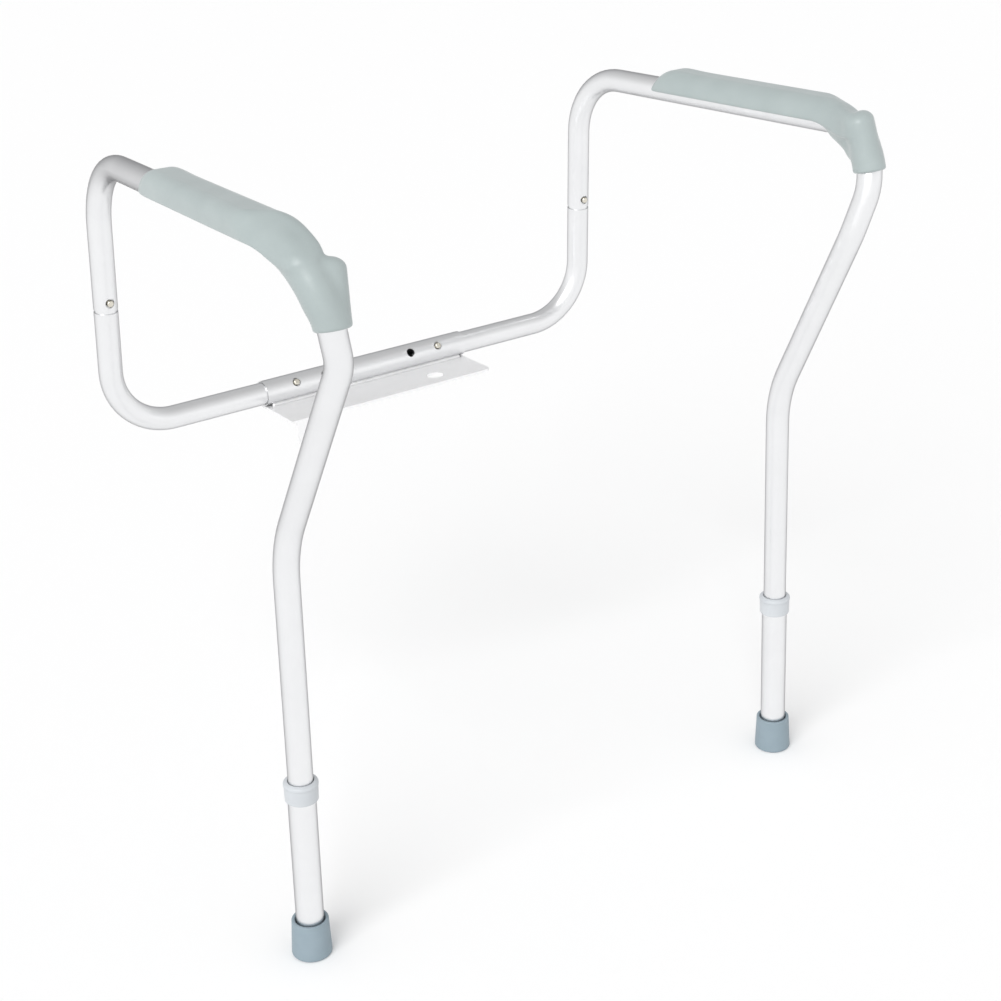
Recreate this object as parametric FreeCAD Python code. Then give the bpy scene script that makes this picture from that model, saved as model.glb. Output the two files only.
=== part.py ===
import FreeCAD
import Part
import math
import os

# Toilet safety frame. Two bent side frames telescope into a bracket tube behind the bowl, the
# bracket plate is held by the two seat bolts, and a leg at each front end telescopes to the floor.
# Millimetres, +X to the right as seen from in front, -Y to the front where the user stands, +Z up.
# While it is being laid out the floor is z = 0 and the bracket tube's axis is y = 0; every piece
# is then moved so that the origin is the centre of the seat-bolt pattern on the plate's underside.

V = FreeCAD.Vector

# ---- tubes ---------------------------------------------------------------------------------------
TUBE_OD = 25.4             # bent side tubes
TUBE_WALL = 1.6
SLEEVE_WALL = 1.25         # bracket tube and lower legs, which the side tubes slide into
SLIDE_CLEAR = 0.35         # radial gap of every telescoping pair
SPLICE_CLEAR = 0.15        # radial gap of the splice insert in the arm tube

# ---- side frame: steps from corner to corner of the tube's axis, right-hand side -----------------
REAR_X = 313.5             # rear lower corner
REAR_Z = 457.6             # height of the bracket tube's axis above the floor
UPRIGHT_RISE = 300.7       # from the rear lower corner to the rear upper corner
UPRIGHT_FORWARD = 20.1
UPRIGHT_INWARD = 6.2
ARM_FORWARD = 475.4        # from there to the front upper corner, under the front of the pad
ARM_OUTWARD = 19.9
ARM_RISE = 4.4
DROP_DOWN = 104.4          # from there to the end of the drop in front
DROP_BACK = 20.5
DROP_INWARD = 27.0
KNEE_DOWN = 205.5          # from there to where the tube turns down into the leg
KNEE_BACK = 109.3
KNEE_OUTWARD = 10.9
LEG_OUTWARD = 9.2          # from there to where the leg's axis meets the floor
REAR_BEND_R = 68.0
TOP_BEND_R = 76.0
FRONT_BEND_R = 60.0
KNEE_1_R = 60.0
KNEE_2_R = 134.0

# ---- bracket -------------------------------------------------------------------------------------
BRACKET_LEN = 268.0
PLATE_T = 3.0
PLATE_FRONT = 66.0         # from the tube's axis to the plate's front edge
PLATE_BACK = 5.0           # behind the tube's axis
PLATE_CORNER_R = 6.0
SEAT_BOLT_SPACING = 140.0  # the usual spacing of seat bolts
SEAT_BOLT_Y = 43.0         # in front of the tube's axis
SEAT_SLOT_W = 17.0
SEAT_SLOT_L = 20.0
TAB_W = 24.0
TAB_INSET = 6.0            # from the plate's left end
TAB_DROP = 28.0
WELD_LEG = 3.2             # size of the weld beads along the tube
WELD_MARGIN = 6.0          # bead stops this far from the plate's ends

# ---- telescoping width ---------------------------------------------------------------------------
WIDTH_BUTTON_INSET = 38.0  # snap buttons in the outer holes, from the bracket tube's ends
WIDTH_PITCH = 38.1         # to the unused inner holes
WIDTH_TUBE_PAST = 20.0     # the side tube runs this far past its button
WIDTH_BUTTON_TILT = 35.0   # hole row leans this far up from straight ahead

# ---- splice between the rear tube and the arm tube -----------------------------------------------
SPLICE_RISE = 137.4        # above the bracket tube's axis
SPLICE_RING_T = 3.0
SPLICE_RING_STEP = 1.0     # the ring is this much smaller than the tubes, per side
SPLICE_DEPTH_DOWN = 25.0
SPLICE_DEPTH_UP = 60.0
SPLICE_WALL = 1.6
SPLICE_BUTTON_UP = 12.0    # above the splice

# ---- snap buttons and their springs --------------------------------------------------------------
BUTTON_D = 7.2
BUTTON_PROUD = 2.2
BUTTON_DOME_R = 1.7
BUTTON_BASE_R = 4.0        # the button's base is this far from the tube's axis
BUTTON_GAP = 1.5           # radial gap round the button in the outer tubes
BUTTON_GUIDE_CLEAR = 0.35  # radial gap in the tube that carries the button
CLIP_W = 7.0
CLIP_T = 0.8
CLIP_LEN = 44.0
CLIP_LEAD = 6.0            # how far the spring runs past the button

# ---- legs ----------------------------------------------------------------------------------------
LEG_TUBE_BOTTOM = 8.0      # heights are measured along the leg's axis from the floor
LEG_TUBE_TOP = 200.0
LEG_TUBE_PAST = 25.0       # the side tube runs this far past its button
LEG_BUTTON_UP = 150.0
LEG_PITCH = 25.4
LEG_HOLES_BELOW = 3
LEG_HOLES_ABOVE = 1
COLLAR_BELOW = 18.0        # from the leg tube's top
COLLAR_ABOVE = 4.0
COLLAR_WALL = 3.3
FOOT_H = 41.0
FOOT_WALL = 4.5
FOOT_FLARE = 2.2
FOOT_EDGE = 3.0
FOOT_MOUTH_GAP = 1.2
FOOT_MOUTH_DEPTH = 8.0
WASHER_T = 2.0
WASHER_HOLE_D = 10.0

# ---- armrest pads: the two sit at different places along their tubes -----------------------------
PAD_END_TURN = {"right": 72.0, "left": 99.4}   # degrees round the front bend where the sleeve ends
PAD_LENGTH = 336.0         # along the tube's axis
PAD_OUTER = 26.0           # from the axis to the outer side
PAD_INNER = 20.0
PAD_CROWN = 23.0           # above the tube's axis
PAD_SKIRT = 2.0            # below the tube's axis
PAD_REAR_SLOPE = 30.0
PAD_FRONT_SLOPE = 112.0    # from the sleeve's end back to where the crown begins to fall
PAD_BLOCK_END = 66.0       # from the sleeve's end back to the front of the crowned block
PAD_SLEEVE_WALL = 3.5
PAD_KNOB_R = 15.5          # the knob stands on the sleeve's end
PAD_KNOB_LEN = 60.0
PAD_KNOB_BACK = 15.0       # degrees of lean towards the rear
PAD_KNOB_IN = 6.0          # degrees of lean towards the other arm
PAD_SLEEVE_PAST = 10.0     # degrees swept past the slanted end before it is trimmed
PAD_KNOB_ROUND = 9.0
PAD_WEB_W = 22.0           # the web inside the bend
PAD_WEB_DEPTH = 19.0       # from the tube's axis
PAD_WEB_START = 100.0      # from the sleeve's end back to where the web begins

# ---- values that follow --------------------------------------------------------------------------
TUBE_R = TUBE_OD / 2
TUBE_BORE_R = TUBE_R - TUBE_WALL
SLEEVE_BORE_R = TUBE_R + SLIDE_CLEAR
SLEEVE_R = SLEEVE_BORE_R + SLEEVE_WALL
BUTTON_HOLE_D = BUTTON_D + 2 * BUTTON_GAP
PLATE_TOP_Z = REAR_Z - SLEEVE_R
PLATE_UNDER_Z = PLATE_TOP_Z - PLATE_T
ORIGIN = V(0, -SEAT_BOLT_Y, PLATE_UNDER_Z)
REAR_CORNER = V(REAR_X, 0, REAR_Z)
REAR_TOP = REAR_CORNER + V(-UPRIGHT_INWARD, -UPRIGHT_FORWARD, UPRIGHT_RISE)
FRONT_TOP = REAR_TOP + V(ARM_OUTWARD, -ARM_FORWARD, ARM_RISE)
KNEE_1 = FRONT_TOP + V(-DROP_INWARD, DROP_BACK, -DROP_DOWN)
KNEE_2 = KNEE_1 + V(KNEE_OUTWARD, KNEE_BACK, -KNEE_DOWN)
LEG_FOOT = V(KNEE_2.x + LEG_OUTWARD, KNEE_2.y, 0)
X_AXIS = V(1, 0, 0)
Z_AXIS = V(0, 0, 1)


def unit(v):
    """A copy of v with length 1."""
    w = V(v)
    w.normalize()
    return w


def bent_wire(points, radii):
    """Straight runs through points, joined by tangent arcs at the inner points."""
    edges = []
    start = points[0]
    for before, corner, after, radius in zip(points, points[1:], points[2:], radii):
        back = unit(before - corner)
        ahead = unit(after - corner)
        turn = math.pi - back.getAngle(ahead)
        reach = radius * math.tan(turn / 2)
        arc_in = corner + back * reach
        arc_out = corner + ahead * reach
        middle = unit(back + ahead)
        centre = corner + middle * (radius / math.cos(turn / 2))
        arc_mid = centre - middle * radius
        edges.append(Part.LineSegment(start, arc_in).toShape())
        edges.append(Part.Arc(arc_in, arc_mid, arc_out).toShape())
        start = arc_out
    edges.append(Part.LineSegment(start, points[-1]).toShape())
    return Part.Wire(edges)


def rod(points, radii, r):
    """A round bar of radius r along a bent wire."""
    wire = bent_wire(points, radii)
    circle = Part.Wire(Part.makeCircle(r, points[0], unit(points[1] - points[0])))
    return wire.makePipeShell([circle], True, False)


def tube(points, radii, outer_r, inner_r):
    """A bent tube, open at both ends."""
    return rod(points, radii, outer_r).cut(rod(points, radii, inner_r))


def bar(start, direction, r, length):
    """A straight round bar."""
    return Part.makeCylinder(r, length, start, direction)


def ring(start, direction, outer_r, inner_r, length):
    """A straight tube."""
    return bar(start, direction, outer_r, length).cut(bar(start, direction, inner_r, length))


def prism(origin, along, up, outline, width):
    """A flat outline in the plane of along and up, thickened evenly to both sides."""
    side = unit(along.cross(up))
    corners = [origin + along * a + up * b - side * (width / 2) for a, b in outline]
    face = Part.Face(Part.makePolygon(corners + [corners[0]]))
    return face.extrude(side * width)


def button(centre, out, carrier_r):
    """A snap button that stands out along out, past a tube of outer radius carrier_r."""
    length = carrier_r + BUTTON_PROUD - BUTTON_BASE_R
    pin = bar(centre + out * BUTTON_BASE_R, out, BUTTON_D / 2, length)
    tip = centre + out * (carrier_r + BUTTON_PROUD)
    rim = [e for e in pin.Edges if (e.BoundBox.Center - tip).Length < 0.01 and len(e.Vertexes) == 1]
    return pin.makeFillet(BUTTON_DOME_R, rim)


def clip(centre, out, along, bore_r):
    """The spring under a button: a leaf under the button and one against the far wall."""
    seat = math.sqrt(bore_r ** 2 - (CLIP_W / 2) ** 2)
    start = -CLIP_LEAD
    end = CLIP_LEN - CLIP_LEAD
    top = BUTTON_BASE_R
    outline = [
        (start, top), (end, top), (end, -seat), (start + CLIP_LEAD, -seat),
        (start + CLIP_LEAD, -seat + CLIP_T), (end - CLIP_T, -seat + CLIP_T),
        (end - CLIP_T, top - CLIP_T), (start, top - CLIP_T),
    ]
    return prism(centre, along, out, outline, CLIP_W)


def hole(centre, out, diameter):
    """A cutter for one wall of a tube, from its axis outwards."""
    return bar(centre, out, diameter / 2, 2 * SLEEVE_R)


def save(node, shape):
    """Write one piece, moved so that the seat-bolt pattern's centre is the origin."""
    piece = shape.removeSplitter()
    piece.translate(V(0, 0, 0) - ORIGIN)
    if len(piece.Solids) != 1 or not piece.isValid():
        print("check", node, len(piece.Solids), piece.isValid())
    piece.Solids[0].exportStep("parts/" + node + ".step")


def save_pair(name, shape):
    """Write the right-hand piece and its mirror image."""
    save("right_" + name, shape)
    save("left_" + name, shape.mirror(V(0, 0, 0), X_AXIS))


os.makedirs("parts", exist_ok=True)

# ---- bracket: tube, plate with the seat-bolt slots and a turned-down tab, two weld beads ---------
width_button_x = BRACKET_LEN / 2 - WIDTH_BUTTON_INSET
width_out = V(0, -math.cos(math.radians(WIDTH_BUTTON_TILT)), math.sin(math.radians(WIDTH_BUTTON_TILT)))
bracket_tube = ring(V(-BRACKET_LEN / 2, 0, REAR_Z), X_AXIS, SLEEVE_R, SLEEVE_BORE_R, BRACKET_LEN)
for side in (-1, 1):
    for step in (0, 1):
        x = side * (width_button_x - step * WIDTH_PITCH)
        bracket_tube = bracket_tube.cut(hole(V(x, 0, REAR_Z), width_out, BUTTON_HOLE_D))
save("bracket_tube", bracket_tube)

plate_depth = PLATE_FRONT + PLATE_BACK
plate = Part.makeBox(BRACKET_LEN, plate_depth, PLATE_T, V(-BRACKET_LEN / 2, -PLATE_FRONT, PLATE_UNDER_Z))
front_right = [
    e for e in plate.Edges
    if abs(e.BoundBox.Center.x - BRACKET_LEN / 2) < 0.01
    and abs(e.BoundBox.Center.y + PLATE_FRONT) < 0.01
]
plate = plate.makeFillet(PLATE_CORNER_R, front_right)
tab_at = V(TAB_INSET - BRACKET_LEN / 2, -PLATE_FRONT, PLATE_TOP_Z - TAB_DROP)
tab = Part.makeBox(TAB_W, PLATE_T, TAB_DROP, tab_at)
plate = plate.fuse(tab)
for side in (-1, 1):
    slot_reach = (SEAT_SLOT_L - SEAT_SLOT_W) / 2
    low = V(side * SEAT_BOLT_SPACING / 2, -SEAT_BOLT_Y, PLATE_UNDER_Z - PLATE_T)
    slot = Part.makeBox(2 * slot_reach, SEAT_SLOT_W, 3 * PLATE_T, low - V(slot_reach, SEAT_SLOT_W / 2, 0))
    for end in (-1, 1):
        slot = slot.fuse(bar(low + V(end * slot_reach, 0, 0), Z_AXIS, SEAT_SLOT_W / 2, 3 * PLATE_T))
    plate = plate.cut(slot)
save("bracket_plate", plate)

# Each bead fills the corner between the tube's underside and the plate.
bead_len = BRACKET_LEN - 2 * WELD_MARGIN
tube_solid = bar(V(-BRACKET_LEN / 2, 0, REAR_Z), X_AXIS, SLEEVE_R, BRACKET_LEN)
for name, side in (("front", -1), ("rear", 1)):
    foot = SLEEVE_R * 0.5
    if side > 0:
        foot = PLATE_BACK
    rise = SLEEVE_R - math.sqrt(SLEEVE_R ** 2 - (foot - WELD_LEG / 2) ** 2)
    corners = [
        V(-bead_len / 2, side * (foot - WELD_LEG), PLATE_TOP_Z),
        V(-bead_len / 2, side * foot, PLATE_TOP_Z),
        V(-bead_len / 2, side * (foot - WELD_LEG / 4), PLATE_TOP_Z + rise + WELD_LEG / 2),
    ]
    bead = Part.Face(Part.makePolygon(corners + [corners[0]])).extrude(X_AXIS * bead_len)
    save("weld_" + name, bead.cut(tube_solid))

# ---- side frame: rear tube, splice insert, arm tube ----------------------------------------------
upright = unit(REAR_TOP - REAR_CORNER)
splice = REAR_CORNER + upright * (SPLICE_RISE / upright.z)
leg_up = unit(KNEE_2 - LEG_FOOT)
splice_out = unit(V(0, -1, 0) - upright * V(0, -1, 0).dot(upright))
leg_out = V(0, 1, 0)
guide_d = BUTTON_D + 2 * BUTTON_GUIDE_CLEAR

width_button_at = V(width_button_x, 0, REAR_Z)
rear_points = [width_button_at - X_AXIS * WIDTH_TUBE_PAST, REAR_CORNER, splice]
rear_tube = tube(rear_points, [REAR_BEND_R], TUBE_R, TUBE_BORE_R)
save_pair("rear_tube", rear_tube.cut(hole(width_button_at, width_out, guide_d)))

insert_r = TUBE_BORE_R - SPLICE_CLEAR
insert_bore_r = insert_r - SPLICE_WALL
insert_start = splice - upright * SPLICE_DEPTH_DOWN
insert = bar(insert_start, upright, TUBE_BORE_R, SPLICE_DEPTH_DOWN)
insert = insert.fuse(bar(splice, upright, TUBE_R - SPLICE_RING_STEP, SPLICE_RING_T))
insert = insert.fuse(bar(splice, upright, insert_r, SPLICE_DEPTH_UP))
insert = insert.cut(bar(insert_start, upright, insert_bore_r, SPLICE_DEPTH_DOWN + SPLICE_DEPTH_UP))
splice_button_at = splice + upright * SPLICE_BUTTON_UP
save_pair("splice_insert", insert.cut(hole(splice_button_at, splice_out, guide_d)))

arm_start = splice + upright * SPLICE_RING_T
arm_end = LEG_FOOT + leg_up * (LEG_BUTTON_UP - LEG_TUBE_PAST)
arm_points = [arm_start, REAR_TOP, FRONT_TOP, KNEE_1, KNEE_2, arm_end]
arm_radii = [TOP_BEND_R, FRONT_BEND_R, KNEE_1_R, KNEE_2_R]
arm_solid = rod(arm_points, arm_radii, TUBE_R)
arm_tube = arm_solid.cut(rod(arm_points, arm_radii, TUBE_BORE_R))
leg_button_at = LEG_FOOT + leg_up * LEG_BUTTON_UP
arm_tube = arm_tube.cut(hole(splice_button_at, splice_out, BUTTON_HOLE_D))
arm_tube = arm_tube.cut(hole(leg_button_at, leg_out, guide_d))
save_pair("arm_tube", arm_tube)

# ---- snap buttons and springs --------------------------------------------------------------------
save_pair("width_button", button(width_button_at, width_out, SLEEVE_R))
save_pair("width_clip", clip(width_button_at, width_out, X_AXIS, TUBE_BORE_R))
save_pair("splice_button", button(splice_button_at, splice_out, TUBE_R))
save_pair("splice_clip", clip(splice_button_at, splice_out, upright, insert_bore_r))
save_pair("leg_button", button(leg_button_at, leg_out, SLEEVE_R))
save_pair("leg_clip", clip(leg_button_at, leg_out, leg_up, TUBE_BORE_R))

# ---- leg: outer tube with its hole row, collar, rubber foot and washer ---------------------------
leg_tube = ring(LEG_FOOT + leg_up * LEG_TUBE_BOTTOM, leg_up, SLEEVE_R, SLEEVE_BORE_R,
                LEG_TUBE_TOP - LEG_TUBE_BOTTOM)
for step in range(-LEG_HOLES_BELOW, LEG_HOLES_ABOVE + 1):
    leg_tube = leg_tube.cut(hole(leg_button_at + leg_up * (step * LEG_PITCH), leg_out, BUTTON_HOLE_D))
save_pair("leg_tube", leg_tube)

collar_at = LEG_FOOT + leg_up * (LEG_TUBE_TOP - COLLAR_BELOW)
collar_len = COLLAR_BELOW + COLLAR_ABOVE
collar = ring(collar_at, leg_up, SLEEVE_R + COLLAR_WALL, SLEEVE_BORE_R, collar_len)
collar = collar.cut(bar(collar_at, leg_up, SLEEVE_R, COLLAR_BELOW))
for step in range(-LEG_HOLES_BELOW, LEG_HOLES_ABOVE + 1):
    collar = collar.cut(hole(leg_button_at + leg_up * (step * LEG_PITCH), leg_out, BUTTON_HOLE_D))
save_pair("collar", collar)

# The foot is built along the leg, a little too long, and trimmed flat at the floor.
foot_top_r = SLEEVE_R + FOOT_WALL
foot_bottom_r = foot_top_r + FOOT_FLARE
foot_edge_low = LEG_FOOT - leg_up * FOOT_EDGE
foot_edge_high = LEG_FOOT + leg_up * FOOT_EDGE
foot = Part.makeCone(foot_bottom_r - 1.6 * FOOT_EDGE, foot_bottom_r, 2 * FOOT_EDGE, foot_edge_low, leg_up)
foot = foot.fuse(Part.makeCone(foot_bottom_r, foot_top_r, FOOT_H - FOOT_EDGE, foot_edge_high, leg_up))
mouth_at = LEG_FOOT + leg_up * (FOOT_H - FOOT_MOUTH_DEPTH)
foot = foot.cut(bar(mouth_at, leg_up, SLEEVE_R + FOOT_MOUTH_GAP, FOOT_H))
washer_at = LEG_FOOT + leg_up * (LEG_TUBE_BOTTOM - WASHER_T)
foot = foot.cut(bar(washer_at, leg_up, SLEEVE_R, FOOT_H))
below = Part.makeBox(200, 200, 100, LEG_FOOT - V(100, 100, 100))
save_pair("foot_tip", foot.cut(below))
save_pair("washer", ring(washer_at, leg_up, SLEEVE_R, WASHER_HOLE_D / 2, WASHER_T))

# ---- armrest pads: crowned block, sleeve round the bend, knob, and web under the bend ------------
arm_dir = unit(FRONT_TOP - REAR_TOP)
drop_dir = unit(KNEE_1 - FRONT_TOP)
half_turn = arm_dir.getAngle(drop_dir) / 2
bend_inward = unit(drop_dir - arm_dir)
bend_centre = FRONT_TOP + bend_inward * (FRONT_BEND_R / math.cos(half_turn))
bend_axis = unit(arm_dir.cross(drop_dir))
bend_start = FRONT_TOP - arm_dir * (FRONT_BEND_R * math.tan(half_turn))
straight_len = (bend_start - REAR_TOP).Length
arm_side = unit(arm_dir.cross(Z_AXIS))
arm_above = unit(arm_side.cross(arm_dir))


def round_bend(angle, offset=0.0):
    """A point at an angle in radians round the front bend, offset outwards from the tube's axis."""
    spoke = unit(bend_start - bend_centre)
    turned = FreeCAD.Rotation(bend_axis, math.degrees(angle)).multVec(spoke)
    return bend_centre + turned * (FRONT_BEND_R + offset)


def armrest(end_turn):
    """The pad whose sleeve ends end_turn degrees round the front bend."""
    turn = math.radians(end_turn)
    end_station = straight_len + FRONT_BEND_R * turn
    start = end_station - PAD_LENGTH
    slope = end_station - PAD_FRONT_SLOPE
    block_end = end_station - PAD_BLOCK_END
    outline = [
        (start, -PAD_SKIRT), (start + PAD_REAR_SLOPE * 0.1, PAD_CROWN * 0.45),
        (start + PAD_REAR_SLOPE * 0.4, PAD_CROWN * 0.85), (start + PAD_REAR_SLOPE, PAD_CROWN),
        (slope, PAD_CROWN), (block_end, PAD_CROWN * 0.6), (block_end, -PAD_WEB_DEPTH * 0.6),
        (slope, -PAD_SKIRT),
    ]
    shift = arm_side * ((PAD_INNER - PAD_OUTER) / 2)
    block = prism(REAR_TOP + shift, arm_dir, arm_above, outline, PAD_OUTER + PAD_INNER)

    sleeve_start = REAR_TOP + arm_dir * (start + PAD_REAR_SLOPE)
    sleeve_end = round_bend(turn)
    past = turn + math.radians(PAD_SLEEVE_PAST)
    wire = Part.Wire([
        Part.LineSegment(sleeve_start, bend_start).toShape(),
        Part.Arc(bend_start, round_bend(past / 2), round_bend(past)).toShape(),
    ])
    sleeve_r = TUBE_R + PAD_SLEEVE_WALL
    circle = Part.Wire(Part.makeCircle(sleeve_r, sleeve_start, arm_dir))
    sleeve = wire.makePipeShell([circle], True, False)

    knob_up = unit(V(-math.tan(math.radians(PAD_KNOB_IN)), math.tan(math.radians(PAD_KNOB_BACK)), 1))
    knob = bar(sleeve_end, knob_up, PAD_KNOB_R, PAD_KNOB_LEN)
    top = sleeve_end + knob_up * PAD_KNOB_LEN
    rim = [e for e in knob.Edges if (e.BoundBox.Center - top).Length < 0.01 and len(e.Vertexes) == 1]
    knob = knob.makeFillet(PAD_KNOB_ROUND, rim)

    web_top = REAR_TOP + arm_dir * (end_station - PAD_WEB_START)
    web_foot = round_bend(0, -PAD_WEB_DEPTH)
    web_face = Part.Face(Part.Wire([
        Part.LineSegment(web_top, bend_start).toShape(),
        Part.Arc(bend_start, round_bend(turn / 2), sleeve_end).toShape(),
        Part.LineSegment(sleeve_end, round_bend(turn, -sleeve_r)).toShape(),
        Part.Arc(round_bend(turn, -sleeve_r), round_bend(turn / 2, -PAD_WEB_DEPTH), web_foot).toShape(),
        Part.LineSegment(web_foot, web_top).toShape(),
    ]))
    web_face.translate(bend_axis * (-PAD_WEB_W / 2))
    web = web_face.extrude(bend_axis * PAD_WEB_W)
    pad = block.fuse(sleeve).fuse(knob).fuse(web)
    pad = pad.cut(bar(sleeve_end, knob_up * -1, 3 * PAD_KNOB_R, PAD_KNOB_LEN))
    return pad.cut(arm_solid)


save("right_armrest", armrest(PAD_END_TURN["right"]))
save("left_armrest", armrest(PAD_END_TURN["left"]).mirror(V(0, 0, 0), X_AXIS))
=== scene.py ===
import bmesh
import bpy
import math
import numpy as np
from mathutils import Matrix, Vector


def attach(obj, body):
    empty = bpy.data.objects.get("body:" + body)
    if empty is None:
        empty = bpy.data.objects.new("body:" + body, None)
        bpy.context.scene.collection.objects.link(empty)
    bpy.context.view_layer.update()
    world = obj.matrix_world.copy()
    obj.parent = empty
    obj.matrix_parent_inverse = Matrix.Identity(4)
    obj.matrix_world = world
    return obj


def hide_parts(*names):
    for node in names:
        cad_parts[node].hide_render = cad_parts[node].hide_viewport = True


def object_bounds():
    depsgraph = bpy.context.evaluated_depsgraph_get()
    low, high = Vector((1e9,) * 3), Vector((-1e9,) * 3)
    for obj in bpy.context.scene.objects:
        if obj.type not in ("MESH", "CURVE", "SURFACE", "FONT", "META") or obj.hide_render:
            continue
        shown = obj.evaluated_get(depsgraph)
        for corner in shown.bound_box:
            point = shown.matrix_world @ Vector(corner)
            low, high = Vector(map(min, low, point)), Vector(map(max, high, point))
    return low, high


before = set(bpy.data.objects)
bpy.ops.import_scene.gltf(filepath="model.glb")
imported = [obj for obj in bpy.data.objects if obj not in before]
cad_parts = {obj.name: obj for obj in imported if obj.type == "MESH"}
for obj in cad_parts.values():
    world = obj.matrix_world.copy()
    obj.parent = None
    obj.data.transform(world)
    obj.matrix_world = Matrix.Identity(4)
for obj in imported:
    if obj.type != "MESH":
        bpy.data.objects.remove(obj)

cad_low, cad_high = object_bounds()

# ---- studio --------------------------------------------------------------------------------------
# A white sweep of floor under the frame in an evenly bright room. The room fades behind the frame and
# to its sides, so the tubes keep soft grey edges, and a wide, weak sun gives the feet their shadows.
floor_reach = 30.0
floor_gap = 0.0005
floor_white = (0.95, 0.95, 0.95, 1)
wall_facing = (0.569, 0.822, 0.0)
wall_near_shade, wall_far_shade = (1.0, 1.0, 1.0, 1), (0.72, 0.72, 0.73, 1)
wall_middle_shades = ((0.42, 1.0), (0.72, 0.86))
ceiling_start, ceiling_top = 0.15, 0.95
ceiling_low_light, ceiling_high_light = 1.08, 0.62
room_strength = 0.98
sun_spread, sun_strength = math.radians(40), 1.7
sun_side = Vector((-1.4, -0.8, 1.3))
camera_place = (-1.00267, -1.67419, 0.72087)
camera_turn, camera_tilt, camera_roll = math.radians(-34.711), math.radians(23.921), math.radians(-2.013)
camera_lens, camera_sensor = 64.69, 36.0

floor_mesh = bpy.data.meshes.new("floor")
floor_corners = [(x * floor_reach, y * floor_reach) for x, y in ((-1, -1), (1, -1), (1, 1), (-1, 1))]
floor_mesh.from_pydata([(x, y, cad_low.z - floor_gap) for x, y in floor_corners], [], [(0, 1, 2, 3)])
floor = bpy.data.objects.new("floor", floor_mesh)
bpy.context.collection.objects.link(floor)
floor_paint = bpy.data.materials.new("floor_paint")
floor_paint.use_nodes = True
floor_shader = floor_paint.node_tree.nodes["Principled BSDF"]
floor_shader.inputs["Base Color"].default_value = floor_white
floor_shader.inputs["Roughness"].default_value = 0.9
floor_shader.inputs["Specular IOR Level"].default_value = 0.1
floor_mesh.materials.append(floor_paint)

room = bpy.data.worlds.new("room")
room.use_nodes = True
bpy.context.scene.world = room
room_nodes = room.node_tree.nodes
room_links = room.node_tree.links
away = room_nodes.new("ShaderNodeVectorMath")
away.operation = "DOT_PRODUCT"
away.inputs[1].default_value = wall_facing
sky_direction = room_nodes.new("ShaderNodeTexCoord").outputs["Generated"]
room_links.new(sky_direction, away.inputs[0])
wall_range = room_nodes.new("ShaderNodeMapRange")
wall_range.inputs["From Min"].default_value = -1.0
room_links.new(away.outputs["Value"], wall_range.inputs["Value"])
wall_ramp = room_nodes.new("ShaderNodeValToRGB")
wall_ramp.color_ramp.interpolation = "EASE"
wall_ramp.color_ramp.elements[0].color = wall_near_shade
wall_ramp.color_ramp.elements[1].color = wall_far_shade
for stop, shade in wall_middle_shades:
    wall_ramp.color_ramp.elements.new(stop).color = (shade, shade, shade, 1)
room_links.new(wall_range.outputs["Result"], wall_ramp.inputs[0])
height = room_nodes.new("ShaderNodeSeparateXYZ")
room_links.new(sky_direction, height.inputs[0])
ceiling = room_nodes.new("ShaderNodeMapRange")
ceiling.inputs["From Min"].default_value = ceiling_start
ceiling.inputs["From Max"].default_value = ceiling_top
ceiling.inputs["To Min"].default_value = ceiling_low_light
ceiling.inputs["To Max"].default_value = ceiling_high_light
room_links.new(height.outputs["Z"], ceiling.inputs["Value"])
dimmed = room_nodes.new("ShaderNodeVectorMath")
dimmed.operation = "SCALE"
room_links.new(wall_ramp.outputs[0], dimmed.inputs[0])
room_links.new(ceiling.outputs["Result"], dimmed.inputs["Scale"])
room_links.new(dimmed.outputs["Vector"], room_nodes["Background"].inputs["Color"])
room_nodes["Background"].inputs["Strength"].default_value = room_strength

sun = bpy.data.lights.new("wide_sun", "SUN")
sun.angle = sun_spread
sun.energy = sun_strength
sun_object = bpy.data.objects.new("wide_sun", sun)
sun_object.rotation_mode = "QUATERNION"
sun_object.rotation_quaternion = sun_side.to_track_quat("Z", "Y")
bpy.context.collection.objects.link(sun_object)

camera_data = bpy.data.cameras.new("camera")
camera_data.lens = camera_lens
camera_data.sensor_width = camera_sensor
camera_data.clip_end = 60.0
camera = bpy.data.objects.new("camera", camera_data)
bpy.context.collection.objects.link(camera)
camera.matrix_world = (
    Matrix.Translation(camera_place)
    @ Matrix.Rotation(camera_turn, 4, "Z")
    @ Matrix.Rotation(math.radians(90) - camera_tilt, 4, "X")
    @ Matrix.Rotation(camera_roll, 4, "Z")
)
bpy.context.scene.camera = camera
bpy.context.scene.view_settings.view_transform = "Standard"

# ---- side tubes, bracket tube and lower legs -----------------------------------------------------
# Drawn aluminium tube, bent cold and anodised satin: an even pale grey with very faint draw lines,
# slightly uneven gloss and a soft mottle where the anodising bath worked.
anodised = bpy.data.materials.new("satin_anodised_aluminium")


def start_finish(material):
    """The principled shader of a fresh material, with its nodes and links."""
    material.use_nodes = True
    tree = material.node_tree
    return tree.nodes, tree.links, tree.nodes["Principled BSDF"]


def object_noise(nodes, links, scale, detail, stretch=(1, 1, 1)):
    """Noise in the object's own coordinates, in metres."""
    place = nodes.new("ShaderNodeMapping")
    place.inputs["Scale"].default_value = stretch
    links.new(nodes.new("ShaderNodeTexCoord").outputs["Object"], place.inputs["Vector"])
    noise = nodes.new("ShaderNodeTexNoise")
    noise.inputs["Scale"].default_value = scale
    noise.inputs["Detail"].default_value = detail
    links.new(place.outputs[0], noise.inputs["Vector"])
    return noise.outputs[0]


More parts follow.
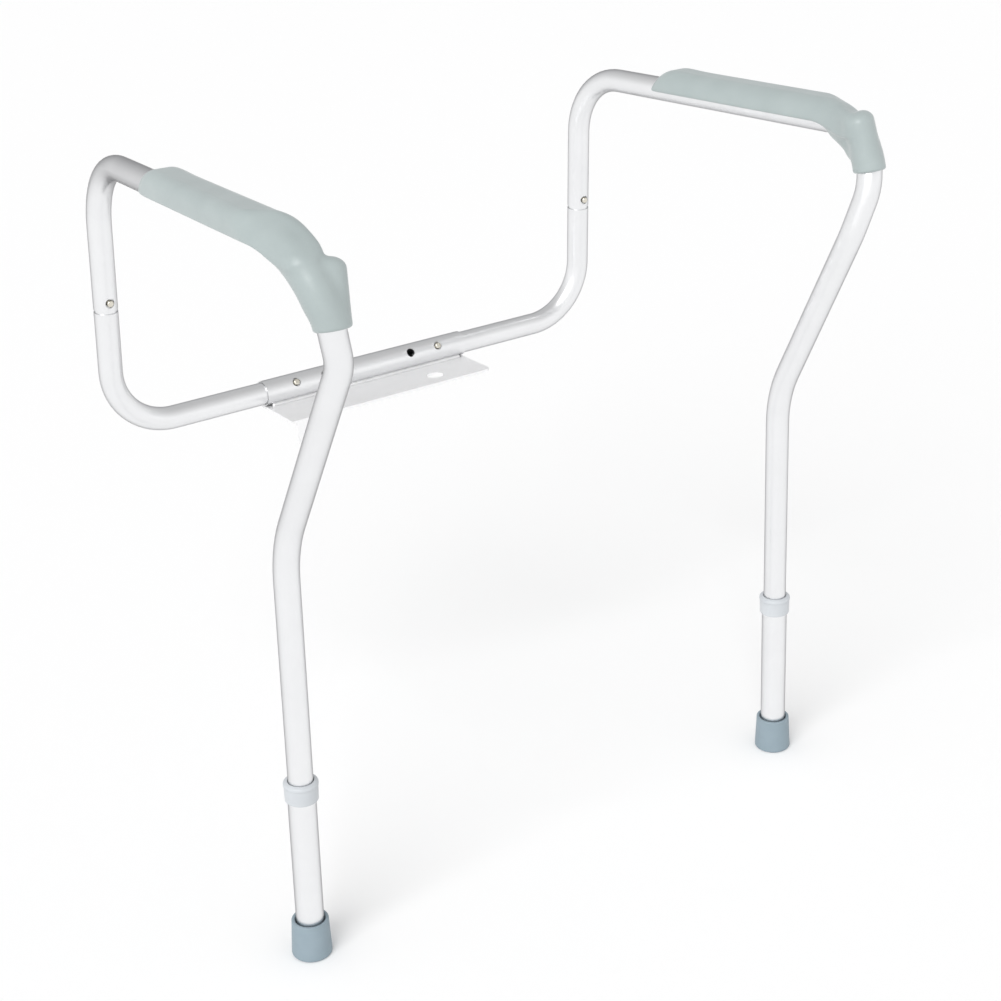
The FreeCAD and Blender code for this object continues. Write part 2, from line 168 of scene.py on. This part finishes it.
def spread(nodes, links, value, low, high):
    """A value from 0 to 1, mapped to low to high."""
    mapped = nodes.new("ShaderNodeMapRange")
    mapped.inputs["To Min"].default_value = low
    mapped.inputs["To Max"].default_value = high
    links.new(value, mapped.inputs["Value"])
    return mapped.outputs["Result"]


def tint(nodes, links, value, dark, light):
    """A colour between dark and light."""
    ramp = nodes.new("ShaderNodeValToRGB")
    ramp.color_ramp.elements[0].position = 0.3
    ramp.color_ramp.elements[0].color = (*dark, 1)
    ramp.color_ramp.elements[1].position = 0.7
    ramp.color_ramp.elements[1].color = (*light, 1)
    links.new(value, ramp.inputs[0])
    return ramp.outputs[0]


def relief(nodes, links, shader, height, distance, strength):
    """Fine relief on a shader."""
    bump = nodes.new("ShaderNodeBump")
    bump.inputs["Distance"].default_value = distance
    bump.inputs["Strength"].default_value = strength
    links.new(height, bump.inputs["Height"])
    if shader.inputs["Normal"].is_linked:
        links.new(shader.inputs["Normal"].links[0].from_socket, bump.inputs["Normal"])
    links.new(bump.outputs[0], shader.inputs["Normal"])


def metal_finish(material, dark, light, edge, gloss, draw_stretch, draw_depth):
    """A metal whose colour and gloss drift a little, with a darker edge tint and fine draw lines."""
    nodes, links, shader = start_finish(material)
    shader.inputs["Metallic"].default_value = 1.0
    shader.inputs["Specular Tint"].default_value = (edge, edge, edge, 1)
    mottle = object_noise(nodes, links, 34.0, 3.0)
    links.new(tint(nodes, links, mottle, dark, light), shader.inputs["Base Color"])
    wear = object_noise(nodes, links, 90.0, 4.0)
    links.new(spread(nodes, links, wear, *gloss), shader.inputs["Roughness"])
    lines = object_noise(nodes, links, 900.0, 2.0, draw_stretch)
    relief(nodes, links, shader, lines, draw_depth, 0.25)
    return shader


def coat(endings, material):
    """Give every solid whose name ends so this one material."""
    for node_name, cad_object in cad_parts.items():
        if node_name.endswith(endings):
            cad_object.data.materials.clear()
            cad_object.data.materials.append(material)


metal_finish(anodised, (0.865, 0.87, 0.88), (0.885, 0.89, 0.90), 0.30, (0.27, 0.33), (1, 0.25, 0.25), 0.00001)
coat(("_tube", "splice_insert"), anodised)

# ---- bracket plate -------------------------------------------------------------------------------
# Pressed steel plate under the tube, zinc plated to a pale satin, with two wide bolt slots and a tab
# turned down at one end. It sits on the bowl behind the seat hinges. The washers in the feet and the
# leaf springs in the tubes take the same plating.
plated = bpy.data.materials.new("pale_zinc_plate")
plate_shader = metal_finish(
    plated, (0.90, 0.90, 0.905), (0.93, 0.93, 0.935), 0.75, (0.42, 0.50), (0.1, 1, 1), 0.00002)
plate_shader.inputs["Metallic"].default_value = 0.5
coat(("bracket_plate", "washer", "clip"), plated)

# ---- weld beads ----------------------------------------------------------------------------------
# Two long runs of weld metal join tube and plate. Each bead is a row of overlapping, slightly uneven
# puddles laid between two ends, made by a node tree with their number, size and drift as inputs.
bead_half_length = 0.1255
bead_puddles = 160
bead_drift = 0.00016
weld_tree = bpy.data.node_groups.new("weld_row", "GeometryNodeTree")
weld_tree.interface.new_socket("Geometry", in_out="OUTPUT", socket_type="NodeSocketGeometry")
weld_sockets = {}
for socket_name, socket_type in (
    ("Start", "NodeSocketVector"), ("End", "NodeSocketVector"), ("Puddles", "NodeSocketInt"),
    ("Radius", "NodeSocketFloat"), ("Drift", "NodeSocketFloat"), ("Seed", "NodeSocketInt"),
    ("Finish", "NodeSocketMaterial"),
):
    weld_sockets[socket_name] = weld_tree.interface.new_socket(
        socket_name, in_out="INPUT", socket_type=socket_type).identifier
given = weld_tree.nodes.new("NodeGroupInput")
made = weld_tree.nodes.new("NodeGroupOutput")
row = weld_tree.nodes.new("GeometryNodeMeshLine")
row.mode = "END_POINTS"
weld_tree.links.new(given.outputs["Puddles"], row.inputs["Count"])
weld_tree.links.new(given.outputs["Start"], row.inputs["Start Location"])
weld_tree.links.new(given.outputs["End"], row.inputs["Offset"])
puddle = weld_tree.nodes.new("GeometryNodeMeshUVSphere")
puddle.inputs["Segments"].default_value = 20
puddle.inputs["Rings"].default_value = 12
weld_tree.links.new(given.outputs["Radius"], puddle.inputs["Radius"])
uneven = weld_tree.nodes.new("FunctionNodeRandomValue")
uneven.data_type = "FLOAT_VECTOR"
uneven.inputs["Min"].default_value = (0.85, 0.92, 0.92)
uneven.inputs["Max"].default_value = (1.05, 1.0, 1.0)
weld_tree.links.new(given.outputs["Seed"], uneven.inputs["Seed"])
wander = weld_tree.nodes.new("FunctionNodeRandomValue")
wander.data_type = "FLOAT_VECTOR"
wander.inputs["Min"].default_value = (-1, -1, -1)
weld_tree.links.new(given.outputs["Seed"], wander.inputs["Seed"])
amount = weld_tree.nodes.new("ShaderNodeVectorMath")
amount.operation = "SCALE"
weld_tree.links.new(wander.outputs["Value"], amount.inputs["Vector"])
weld_tree.links.new(given.outputs["Drift"], amount.inputs["Scale"])
shift = weld_tree.nodes.new("GeometryNodeSetPosition")
weld_tree.links.new(row.outputs["Mesh"], shift.inputs["Geometry"])
weld_tree.links.new(amount.outputs["Vector"], shift.inputs["Offset"])
laid = weld_tree.nodes.new("GeometryNodeInstanceOnPoints")
weld_tree.links.new(shift.outputs["Geometry"], laid.inputs["Points"])
weld_tree.links.new(puddle.outputs["Mesh"], laid.inputs["Instance"])
weld_tree.links.new(uneven.outputs["Value"], laid.inputs["Scale"])
real = weld_tree.nodes.new("GeometryNodeRealizeInstances")
weld_tree.links.new(laid.outputs["Instances"], real.inputs["Geometry"])
finish = weld_tree.nodes.new("GeometryNodeSetMaterial")
weld_tree.links.new(real.outputs["Geometry"], finish.inputs["Geometry"])
weld_tree.links.new(given.outputs["Finish"], finish.inputs["Material"])
weld_tree.links.new(finish.outputs["Geometry"], made.inputs["Geometry"])

bead_metal = bpy.data.materials.new("weld_metal")
metal_finish(bead_metal, (0.84, 0.84, 0.845), (0.90, 0.90, 0.905), 0.60, (0.30, 0.42), (1, 1, 1), 0.00002)
for bead_name, bead_y, bead_z, bead_r, seed in (
    ("weld_front", 0.0335, 0.0046, 0.0026, 3),
    ("weld_rear", 0.0464, 0.0031, 0.0015, 8),
):
    carrier_mesh = bpy.data.meshes.new(bead_name + "_carrier")
    carrier = bpy.data.objects.new(bead_name + "_carrier", carrier_mesh)
    bpy.context.collection.objects.link(carrier)
    bead_maker = carrier.modifiers.new("row", "NODES")
    bead_maker.node_group = weld_tree
    for socket_name, value in (
        ("Start", (-bead_half_length, bead_y, bead_z)), ("End", (bead_half_length, bead_y, bead_z)),
        ("Puddles", bead_puddles), ("Radius", bead_r), ("Drift", bead_drift), ("Seed", seed),
        ("Finish", bead_metal),
    ):
        bead_maker[weld_sockets[socket_name]] = value
    evaluated = carrier.evaluated_get(bpy.context.evaluated_depsgraph_get())
    bead_mesh = bpy.data.meshes.new_from_object(evaluated)
    carrier.modifiers.clear()
    carrier.data = bead_mesh
    carrier.name = bead_name + "_bead"
    bead_mesh.polygons.foreach_set("use_smooth", [True] * len(bead_mesh.polygons))
    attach(carrier, "bracket")
    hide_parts(bead_name)

# ---- snap buttons --------------------------------------------------------------------------------
# Turned steel pins with a domed head, nickel plated to a faintly warm shine, pushed out of the
# tubes by a leaf spring.
nickel = bpy.data.materials.new("warm_nickel")
metal_finish(nickel, (0.70, 0.66, 0.57), (0.80, 0.77, 0.68), 0.30, (0.16, 0.24), (1, 1, 1), 0.00001)
coat("button", nickel)

# ---- leg collars ---------------------------------------------------------------------------------
# Injection-moulded rings in light grey plastic, pressed on the top of each lower leg, with a soft
# satin skin and a rolled lip round the sliding tube.
collar_grey = bpy.data.materials.new("light_grey_plastic")
leg_y = -0.3227
leg_foot_x, leg_foot_z = 0.3203, -0.4403
leg_knee_x, leg_knee_z = 0.3111, 0.0125


def moulded_finish(material, dark, light, gloss, grain_scale, grain_depth, grain_strength):
    """Moulded plastic or rubber: drifting tone, uneven gloss and a fine skin."""
    nodes, links, shader = start_finish(material)
    drift = object_noise(nodes, links, 26.0, 4.0)
    links.new(tint(nodes, links, drift, dark, light), shader.inputs["Base Color"])
    sheen = object_noise(nodes, links, 140.0, 3.0)
    links.new(spread(nodes, links, sheen, *gloss), shader.inputs["Roughness"])
    grain = object_noise(nodes, links, grain_scale, 2.0)
    relief(nodes, links, shader, grain, grain_depth, grain_strength)
    return nodes, links, shader


moulded_finish(collar_grey, (0.51, 0.535, 0.56), (0.56, 0.585, 0.61), (0.36, 0.46), 1500.0, 0.00003, 0.3)


def leg_line(side):
    """The foot of a lower leg's axis on the floor, and the axis's direction up the leg."""
    foot = Vector((leg_foot_x * side, leg_y, leg_foot_z))
    knee = Vector((leg_knee_x * side, leg_y, leg_knee_z))
    return foot, (knee - foot).normalized()


def turned(name, corners, side):
    """A closed ring turned round a leg's axis from (radius, height, corner rounding) corners."""
    foot, up = leg_line(side)
    corner_steps = 7
    segments = 96
    outline = []
    for before, corner, after in zip(corners[-1:] + corners[:-1], corners, corners[1:] + corners[:1]):
        here, back, ahead = Vector(corner[:2]), Vector(before[:2]), Vector(after[:2])
        to_back, to_ahead = (back - here).normalized(), (ahead - here).normalized()
        if corner[2] == 0:
            outline.append(here)
            continue
        first, last = here + to_back * corner[2], here + to_ahead * corner[2]
        for i in range(corner_steps + 1):
            t = i / corner_steps
            outline.append(first * (1 - t) ** 2 + here * 2 * t * (1 - t) + last * t ** 2)
    across = up.cross(Vector((0, 1, 0))).normalized()
    level = across.cross(up)
    shell = bmesh.new()
    rows = []
    for i in range(segments):
        angle = 2 * math.pi * i / segments
        spoke = across * math.cos(angle) + level * math.sin(angle)
        rows.append([])
        for radius, height in outline:
            place = foot + up * height + spoke * radius
            place.z = max(place.z, cad_low.z)
            rows[-1].append(shell.verts.new(place))
    for i in range(segments):
        for k in range(len(outline)):
            j, m = (i + 1) % segments, (k + 1) % len(outline)
            shell.faces.new((rows[i][k], rows[j][k], rows[j][m], rows[i][m]))
    bmesh.ops.recalc_face_normals(shell, faces=shell.faces)
    mesh = bpy.data.meshes.new(name)
    shell.to_mesh(mesh)
    shell.free()
    mesh.polygons.foreach_set("use_smooth", [True] * len(mesh.polygons))
    result = bpy.data.objects.new(name, mesh)
    bpy.context.collection.objects.link(result)
    return result


for side_name, side in (("left", -1), ("right", 1)):
    collar = turned(side_name + "_collar_ring", [
        (0.0144, 0.1822, 0.0006), (0.0168, 0.1822, 0.0009), (0.0171, 0.1985, 0.0006), (0.0176, 0.1990, 0.0006),
        (0.0176, 0.2018, 0.0012), (0.0150, 0.2038, 0.0012), (0.01312, 0.2038, 0.0005), (0.01312, 0.2001, 0.0),
        (0.0144, 0.2001, 0.0),
    ], side)
    collar.data.materials.append(collar_grey)
    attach(collar, side_name + "_leg")
    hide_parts(side_name + "_collar")

# ---- rubber feet ---------------------------------------------------------------------------------
# Thick, slightly flared cups of blue-grey rubber pushed over the leg ends, with a rounded lip standing a
# little off the tube and a soft edge at the floor.
foot_rubber = bpy.data.materials.new("blue_grey_rubber")
moulded_finish(foot_rubber, (0.225, 0.290, 0.332), (0.265, 0.332, 0.376), (0.50, 0.64), 1100.0, 0.00005, 0.35)
for side_name, side in (("left", -1), ("right", 1)):
    foot_cup = turned(side_name + "_foot_cup", [
        (0.0080, -0.0002, 0.0), (0.0208, -0.0002, 0.0026), (0.0206, 0.0050, 0.0020), (0.0189, 0.0405, 0.0015),
        (0.0156, 0.0405, 0.0011), (0.0154, 0.0330, 0.0), (0.01435, 0.0330, 0.0), (0.01435, 0.0062, 0.0),
        (0.0080, 0.0062, 0.0),
    ], side)
    foot_cup.data.materials.append(foot_rubber)
    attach(foot_cup, side_name + "_leg")
    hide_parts(side_name + "_foot_tip")

# ---- armrest pads --------------------------------------------------------------------------------
# Soft self-skinned foam, moulded round the tube in one piece: a crowned rest for the forearm that falls to
# a saddle, a sleeve and a web round the bend, and a knob standing on the sleeve's end. The skin is traced
# where a blend of those four volumes, less the tube, changes sign.
pad_foam = bpy.data.materials.new("sage_grey_foam_skin")
pad_rear_top = np.array((0.3073, 0.0229, 0.3180))
pad_front_top = np.array((0.3272, -0.4525, 0.3224))
pad_drop = np.array((-0.0270, 0.0205, -0.1044))
pad_drop = pad_drop / np.linalg.norm(pad_drop)
pad_arm = (pad_front_top - pad_rear_top) / np.linalg.norm(pad_front_top - pad_rear_top)
pad_bend_r = 0.060
pad_half_turn = math.acos(float(pad_arm @ pad_drop)) / 2
pad_inward = (pad_drop - pad_arm) / np.linalg.norm(pad_drop - pad_arm)
pad_centre = pad_front_top + pad_inward * (pad_bend_r / math.cos(pad_half_turn))
pad_bend_start = pad_front_top - pad_arm * (pad_bend_r * math.tan(pad_half_turn))
pad_axle = np.cross(pad_arm, pad_drop)
pad_axle = pad_axle / np.linalg.norm(pad_axle)
pad_spoke = (pad_bend_start - pad_centre) / pad_bend_r
pad_straight = float(np.linalg.norm(pad_bend_start - pad_rear_top))
pad_across = np.cross(pad_arm, (0, 0, 1))
pad_across = pad_across / np.linalg.norm(pad_across)
pad_above = np.cross(pad_across, pad_arm)
pad_hole_r = 0.01278
pad_length = 0.336
pad_crown, pad_hump, pad_skirt = 0.0229, 0.0009, 0.0007
pad_outer, pad_inner = 0.0260, 0.0200
pad_outer_round, pad_inner_round = 0.0130, 0.0205
pad_sleeve_r, pad_sleeve_lap = 0.0155, 0.066
pad_web_r, pad_web_depth = 0.0122, 0.0065
knob_height, knob_round = 0.0600, 0.0110
knob_foot_r, knob_taper, knob_widening = 0.0145, 0.0006, 0.36
knob_up = np.array((-0.106, 0.260, 0.960))
knob_offset = np.array((-0.0020, -0.0022, 0))
knob_broad_way, knob_narrow_way = np.array((-0.822, -0.569, 0)), np.array((0.569, -0.822, 0))
sleeve_end_up = np.array((0.0, 0.22, 0.975))


def blend_union(a, b, soft):
    """The smaller of two fields, rounded over a width where they meet."""
    h = np.clip(0.5 + 0.5 * (b - a) / soft, 0, 1)
    return b * (1 - h) + a * h - soft * h * (1 - h)


def blend_cut(a, b, soft):
    """The larger of two fields, rounded over a width where they meet."""
    return -blend_union(-a, -b, soft)


def eased(value):
    """From 0 to 1 with a soft start and a soft stop."""
    value = np.clip(value, 0, 1)
    return value * value * (3 - 2 * value)


def rounded(sideways, upward, radius):
    """The field of a form whose side and top meet in a round corner."""
    past = np.hypot(np.maximum(sideways, 0), np.maximum(upward, 0))
    return np.minimum(np.maximum(sideways, upward), 0) + past - radius


def pad_field(points, end_turn, swing, drop_depth):
    """Below zero inside the pad whose sleeve ends end_turn radians round the bend, its block swung inwards."""
    turn_cos, turn_sin = math.cos(end_turn), math.sin(end_turn)
    end = pad_straight + pad_bend_r * end_turn
    start = end - pad_length
    knob_foot = pad_centre + pad_bend_r * (pad_spoke * turn_cos + pad_arm * turn_sin) + knob_offset
    from_end = points - knob_foot
    knob_along = pad_straight + pad_bend_r * turn_sin
    # Along, across (towards the other arm) and above the straight arm.
    from_rear = points - pad_rear_top
    along, across, above = from_rear @ pad_arm, from_rear @ pad_across, from_rear @ pad_above
    # Round the bend: how far along the tube, and how far from its axis.
    from_centre = points - pad_centre
    x, y, w = from_centre @ pad_spoke, from_centre @ pad_arm, from_centre @ pad_axle
    angle = np.arctan2(y, x)
    station = np.where(y < 0, pad_straight + y, pad_straight + pad_bend_r * angle)
    outward = np.where(y < 0, x, np.hypot(x, y)) - pad_bend_r
    from_axis = np.hypot(outward, w)

    # The crowned block: rounder towards the user, falling sooner on the far side.
    rear = np.clip((along - start) / 0.029, 0, 1)
    rear_rise = np.sqrt(np.clip(1 - (1 - rear) ** 2, 0, 1))
    fall = eased((along - (knob_along - 0.066 + 1.1 * across)) / 0.060)
    narrow = eased((along - (knob_along - 0.064)) / 0.042)
    glide = eased((along - (knob_along - 0.058)) / 0.052)
    hump = pad_hump * np.exp(-((along - start - 0.030) / 0.020) ** 2)
    top = pad_crown + hump - 0.0175 * (1 - rear_rise) - drop_depth * fall
    outer = pad_outer - 0.0110 * narrow - 0.0030 * (1 - rear_rise)
    inner = pad_inner - 0.0045 * narrow - 0.0010 * (1 - rear_rise)
    half_w, side_shift = (outer + inner) / 2, (inner - outer) / 2 + glide * swing
    lean = 0.5 + 0.5 * np.tanh((across - side_shift) / 0.006)
    corner = (pad_outer_round * (1 - lean) + pad_inner_round * lean) * (1 - 0.35 * narrow)
    corner = np.minimum(corner, half_w - 0.001)
    block = rounded(np.abs(across - side_shift) - half_w + corner, above - top + corner, corner)
    low = np.minimum(-pad_skirt + 0.05 * across - 0.008 * narrow, top - 0.005)
    block = blend_cut(block, low - above, 0.0035)
    block = blend_cut(block, start - along, 0.004)
    block = blend_cut(block, along - knob_along + 0.006, 0.014)

    # The sleeve round the bend, and a shallow web inside it.
    sleeve = from_axis - pad_sleeve_r
    sleeve = blend_cut(sleeve, knob_along - pad_sleeve_lap - station, 0.024)
    web = np.hypot(w, outward + pad_web_depth) - pad_web_r
    web = blend_cut(web, knob_along - pad_sleeve_lap - station, 0.040)
    web = blend_cut(web, station - end + 0.016, 0.016)

    # The knob: a stub leaning back from the sleeve's end, rounded on top.
    height = from_end @ knob_up
    upper = np.clip(height / 0.045, 0, 1)
    off_line = from_end - height[:, None] * knob_up
    broad = (off_line @ knob_broad_way + 0.0040 * upper) / (1 + knob_widening * upper)
    off_axis = np.hypot(broad, off_line @ knob_narrow_way)
    knob_r = knob_foot_r - knob_taper * upper
    knob = rounded(off_axis - knob_r + knob_round, height - knob_height + knob_round, knob_round)

    body = blend_union(sleeve, web, 0.010)
    body = blend_union(body, block, 0.012)
    body = blend_union(body, knob, 0.0045)
    body = blend_cut(body, -(from_end @ sleeve_end_up), 0.0030)
    return blend_cut(body, pad_hole_r - from_axis, 0.0012)


def traced(field, low, high, cell):
    """The surface where a field changes sign: one point per crossed cell, joined across crossed edges."""
    settling_rounds, smoothing_round = 6, 3
    probe = 0.0001
    size = [int(math.ceil((b - a) / cell)) + 1 for a, b in zip(low, high)]
    axes = [low[i] + cell * np.arange(size[i]) for i in range(3)]
    grid = np.stack(np.meshgrid(*axes, indexing="ij"), axis=-1).reshape(-1, 3)
    values = field(grid).reshape(size)
    inside = values < 0
    cells = [n - 1 for n in size]
    total = np.zeros(cells + [3])
    hits = np.zeros(cells)
    for axis in range(3):
        others = [i for i in range(3) if i != axis]
        for du in (0, 1):
            for dv in (0, 1):
                offset = [0, 0, 0]
                offset[others[0]], offset[others[1]] = du, dv
                near_corner = tuple(map(float, offset))
                near = tuple(slice(o, o + n) for o, n in zip(offset, cells))
                offset[axis] = 1
                far = tuple(slice(o, o + n) for o, n in zip(offset, cells))
                crossed = inside[near] != inside[far]
                gap = values[near] - values[far]
                part = np.where(crossed, values[near] / np.where(gap == 0, 1, gap), 0)
                spot = np.array(near_corner) + part[..., None] * np.eye(3)[axis]
                total += spot * crossed[..., None]
                hits += crossed
    used = hits > 0
    number = np.full(cells, -1)
    number[used] = np.arange(int(used.sum()))
    place = np.argwhere(used) + total[used] / hits[used][:, None]
    points = np.array(low) + place * cell
    quads = []
    for axis in range(3):
        u, v = (axis + 1) % 3, (axis + 2) % 3
        step = [0, 0, 0]
        step[axis] = 1
        near = tuple(slice(0, n - s) for n, s in zip(size, step))
        far = tuple(slice(s, n) for n, s in zip(size, step))
        for start_inside in (True, False):
            spots = np.argwhere((inside[near] == start_inside) & (inside[far] != start_inside))
            ring = []
            for du, dv in ((-1, -1), (0, -1), (0, 0), (-1, 0)):
                at = spots.copy()
                at[:, u] += du
                at[:, v] += dv
                ring.append(number[at[:, 0], at[:, 1], at[:, 2]])
            ring = np.stack(ring, axis=1)
            quads.append(ring if start_inside else ring[:, ::-1])
    quads = np.concatenate(quads)
    edges = np.concatenate([quads[:, (i, (i + 1) % 4)] for i in range(4)])
    edges = np.unique(np.sort(edges, axis=1), axis=0)
    for settling in range(settling_rounds):
        if settling == smoothing_round:
            mean = np.zeros_like(points)
            near_count = np.bincount(edges.ravel(), minlength=len(points))
            for a, b in ((0, 1), (1, 0)):
                np.add.at(mean, edges[:, a], points[edges[:, b]])
            points = points * 0.4 + mean / near_count[:, None] * 0.6
        slope = np.stack([
            (field(points + way * probe) - field(points - way * probe)) / (2 * probe) for way in np.eye(3)
        ], axis=1)
        steep = np.maximum((slope ** 2).sum(axis=1), 0.2)
        move = -field(points)[:, None] * slope / steep[:, None]
        points = points + np.clip(move, -cell / 3, cell / 3)
    return points, quads


pad_space_low, pad_space_high, pad_cell = (0.276, -0.474, 0.236), (0.360, -0.095, 0.352), 0.00125
for side_name, side, end_turn, swing, drop_depth in (
    ("left", -1, math.radians(99.4), 0.0050, 0.0290),
    ("right", 1, math.radians(72.0), 0.0165, 0.0165),
):
    points, quads = traced(
        lambda p: pad_field(p, end_turn, swing, drop_depth), pad_space_low, pad_space_high, pad_cell)
    points[:, 0] *= side
    if side < 0:
        quads = quads[:, ::-1]
    pad_mesh = bpy.data.meshes.new(side_name + "_pad")
    pad_mesh.from_pydata(points.tolist(), [], quads.tolist())
    pad_mesh.polygons.foreach_set("use_smooth", [True] * len(pad_mesh.polygons))
    pad = bpy.data.objects.new(side_name + "_pad", pad_mesh)
    bpy.context.collection.objects.link(pad)
    pad_mesh.materials.append(pad_foam)
    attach(pad, side_name + "_side")
    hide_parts(side_name + "_armrest")

nodes, links, shader = moulded_finish(
    pad_foam, (0.340, 0.392, 0.391), (0.372, 0.425, 0.423), (0.34, 0.44), 1900.0, 0.00006, 0.35)
pebble = nodes.new("ShaderNodeTexVoronoi")
pebble.inputs["Scale"].default_value = 620.0
links.new(nodes.new("ShaderNodeTexCoord").outputs["Object"], pebble.inputs["Vector"])
relief(nodes, links, shader, pebble.outputs["Distance"], 0.00012, 0.35)
shader.inputs["Sheen Weight"].default_value = 0.12
shader.inputs["Sheen Roughness"].default_value = 0.4
shader.inputs["Coat Weight"].default_value = 0.15
shader.inputs["Coat Roughness"].default_value = 0.30
